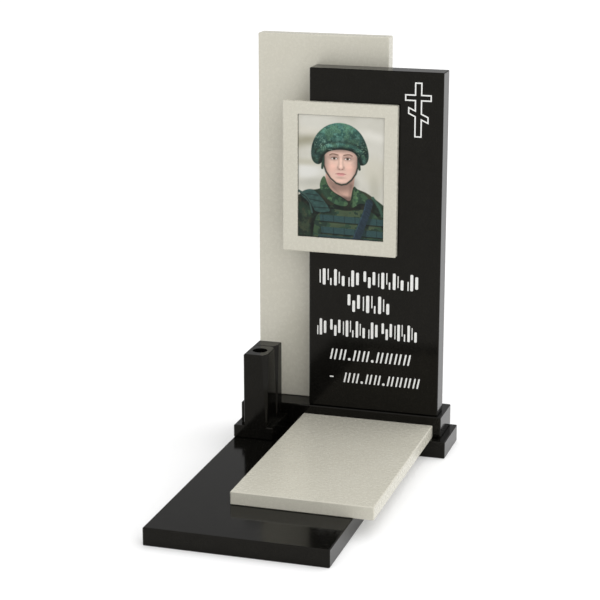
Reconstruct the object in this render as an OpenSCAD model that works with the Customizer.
// Granite memorial: two steles on a stepped plinth, with a framed picture,
// a ground slab, a ledger and a square vase.
// X runs across the memorial, +Y runs from the ground slab to the back, Z is up.
// The origin is on the ground, at the middle of the whole footprint.

/* [Ground slab] */
// Width of the ground slab
slab_w = 597; // [480:1:640]
// Length of the ground slab, from its front to the lower plinth
slab_l = 1015; // [900:5:1400]
// Thickness of the ground slab
slab_h = 60; // [40:5:80]
// Distance of the slab's left side from the left end of the lower plinth
slab_inset = 35; // [0:1:60]

/* [Plinth] */
// Width of the lower plinth
lower_w = 752; // [720:1:900]
// Depth of the lower plinth
lower_d = 200; // [180:5:300]
// Width of the upper plinth
upper_w = 703; // [690:1:720]
// Depth of the upper plinth
upper_d = 160; // [150:5:180]
// Height of the upper plinth
upper_h = 75; // [50:5:120]
// Step from the lower plinth's front to the upper plinth's front
upper_step = 38; // [5:1:40]

/* [Steles] */
// Width of the front stele
front_w = 465; // [380:1:520]
// Thickness of the front stele
front_t = 80; // [50:5:90]
// Height of the front stele
front_h = 1197; // [1100:1:1300]
// Width of the back stele
back_w = 463; // [380:1:520]
// Thickness of the back stele
back_t = 57; // [30:1:60]
// Height of the back stele
back_h = 1297; // [1200:1:1500]
// Distance of the front stele's face from the upper plinth's front
stele_setback = 12; // [5:1:16]
// Distance of each stele's outer side from the end of the upper plinth
stele_inset = 15; // [0:1:30]

/* [Portrait frame] */
// Width of the frame
frame_w = 402; // [350:1:450]
// Height of the frame
frame_h = 522; // [450:1:580]
// Thickness of the frame
frame_t = 25; // [20:1:40]
// Width of the frame's border on the left
border_left = 53; // [30:1:65]
// Width of the frame's border on the right
border_right = 44; // [30:1:65]
// Width of the frame's lower border
border_low = 53; // [30:1:65]
// Width of the frame's upper border
border_high = 43; // [30:1:65]
// Height of the frame's underside above the upper plinth
frame_lift = 562; // [400:1:600]
// Distance by which the frame reaches past the front stele's left side
frame_reach = 88; // [40:1:120]
// Thickness of the picture plate
plate_t = 18; // [8:1:20]

/* [Ledger] */
// Width of the ledger
ledger_w = 469; // [400:1:560]
// Length of the ledger, from its front to the upper plinth
ledger_l = 797; // [600:1:1000]
// Thickness of the ledger
ledger_h = 45; // [30:1:60]
// Distance of the ledger's right side from the right end of the upper plinth
ledger_inset = 28; // [0:1:40]

/* [Vase] */
// Width of the vase
vase_w = 83; // [80:1:110]
// Depth of the vase's hollow block
vase_d = 115; // [100:1:130]
// Depth of the plain block behind it, in one piece with it
vase_back_d = 60; // [20:1:75]
// Height of the vase, with its foot
vase_h = 305; // [240:5:400]
// Radius of the vase's bore
vase_bore_r = 26; // [15:1:28]
// Depth of the vase's bore
vase_bore_l = 190; // [100:5:200]
// Reach along X of the facets at the vase's top; they run out at its bottom
facet_w = 17; // [8:1:20]
// Reach along Y of the facets at the vase's top
facet_d = 26; // [15:1:30]
// Height of the vase's foot
foot_h = 45; // [30:1:60]
// Distance of the foot's back from the upper plinth's front
foot_gap = 18; // [2:1:150]
// Distance of the vase's left side from the foot's left side
foot_left = 38; // [20:1:50]
// Distance of the vase's right side from the foot's right side
foot_right = 22; // [10:1:30]
// Distance of the raised step's front from the foot's front
step_place = 86; // [60:1:110]
// Height of the raised step above the foot
step_h = 57; // [30:1:80]

/* [Edges] */
// Width of the bevel on the edges of every stone
bevel = 3; // [1:0.5:4]

/* [Hidden] */
eps = 0.5;
cut_size = 2 * vase_h;

total_l = slab_l + lower_d;
slab_x = -lower_w / 2 + slab_inset;
slab_y = -total_l / 2;
lower_y = slab_y + slab_l;
upper_y = lower_y + upper_step;
upper_top = slab_h + upper_h;

stele_y = upper_y + stele_setback;
front_x = upper_w / 2 - stele_inset - front_w;
back_x = -upper_w / 2 + stele_inset;

frame_x = front_x - frame_reach;
frame_z = upper_top + frame_lift;
plate_w = frame_w - border_left - border_right;
plate_h = frame_h - border_low - border_high;

ledger_x = upper_w / 2 - ledger_inset - ledger_w;
ledger_y = upper_y - ledger_l;

foot_w = foot_left + vase_w + foot_right;
foot_d = vase_d + vase_back_d;
foot_y = upper_y - foot_gap - foot_d;
vase_x = slab_x + foot_left;
facet_turn = atan(facet_d / facet_w);
facet_tilt = atan(facet_w * facet_d / norm([facet_w, facet_d]) / vase_h);

// A rectangle with its four corners cut off.
function cut_rectangle(a, b, c) =
    [[c, 0], [a - c, 0], [a, c], [a, b - c], [a - c, b], [c, b], [0, b - c], [0, c]];

// A block of stone with a bevel along all twelve edges.
module block(w, d, h, c = bevel) {
    intersection() {
        linear_extrude(h)
            polygon(cut_rectangle(w, d, c));
        rotate([90, 0, 90])
            linear_extrude(w)
                polygon(cut_rectangle(d, h, c));
        translate([0, d, 0])
            rotate([90, 0, 0])
                linear_extrude(d)
                    polygon(cut_rectangle(w, h, c));
    }
}

module ground_slab() {
    color([0.13, 0.13, 0.12])
        translate([slab_x, slab_y, 0])
            block(slab_w, slab_l, slab_h);
}

module lower_plinth() {
    color([0.13, 0.13, 0.12])
        translate([-lower_w / 2, lower_y, 0])
            block(lower_w, lower_d, slab_h);
}

module upper_plinth() {
    color([0.13, 0.13, 0.12])
        translate([-upper_w / 2, upper_y, slab_h])
            block(upper_w, upper_d, upper_h);
}

module back_stele() {
    color([0.8, 0.78, 0.73])
        translate([back_x, stele_y + front_t, upper_top])
            block(back_w, back_t, back_h);
}

module front_stele() {
    color([0.13, 0.13, 0.12])
        translate([front_x, stele_y, upper_top])
            block(front_w, front_t, front_h);
}

// The frame lies on the front stele and reaches past it, in front of the back stele.
module portrait_frame() {
    color([0.8, 0.78, 0.73])
        translate([frame_x, stele_y - frame_t, frame_z])
            difference() {
                block(frame_w, frame_t, frame_h);
                translate([border_left, -eps, border_low])
                    cube([plate_w, frame_t + 2 * eps, plate_h]);
            }
}

// The plate fills the frame's opening and is set back from the frame's face.
module portrait_plate() {
    color([0.45, 0.5, 0.45])
        translate([frame_x + border_left, stele_y - plate_t, frame_z + border_low])
            cube([plate_w, plate_t, plate_h]);
}

module ledger() {
    color([0.7, 0.68, 0.62])
        translate([ledger_x, ledger_y, slab_h])
            block(ledger_w, ledger_l, ledger_h);
}

// A slanted plane through the lower end of the upright edge at [x, y].
// It takes off a facet that grows from nothing there to its full width at the top.
module corner_facet(x, y, turn) {
    translate([x, y, 0])
        rotate([0, 0, turn])
            rotate([-facet_tilt, 0, 0])
                translate([-cut_size / 2, -cut_size, -cut_size / 2])
                    cube([cut_size, cut_size, 2 * cut_size]);
}

// The hollow block of the vase, with a facet on both of its right edges.
module vase_block() {
    difference() {
        block(vase_w, vase_d, vase_h);
        corner_facet(vase_w, 0, facet_turn);
        corner_facet(vase_w, vase_d, 180 - facet_turn);
    }
}

// The plain block behind it; the facet on its front edge makes a groove between the two.
module vase_back() {
    translate([0, vase_d, 0])
        difference() {
            translate([0, -eps, 0])
                block(vase_w, vase_back_d + eps, vase_h);
            corner_facet(vase_w, 0, facet_turn);
        }
}

// The vase is cut in one piece with its foot, the block behind it and the step on its left.
module vase() {
    color([0.15, 0.15, 0.14])
        difference() {
            translate([slab_x, foot_y, slab_h])
                union() {
                    block(foot_w, foot_d, foot_h);
                    translate([foot_left, 0, 0])
                        vase_block();
                    translate([foot_left, 0, 0])
                        vase_back();
                    translate([0, step_place, 0])
                        block(foot_left + 2 * bevel, foot_d - step_place, foot_h + step_h);
                }
            translate([vase_x + vase_w / 2, foot_y + vase_d / 2, slab_h + vase_h - vase_bore_l])
                cylinder(h = vase_bore_l + eps, r = vase_bore_r, $fn = 64);
        }
}

ground_slab();
lower_plinth();
upper_plinth();
back_stele();
front_stele();
portrait_frame();
portrait_plate();
ledger();
vase();
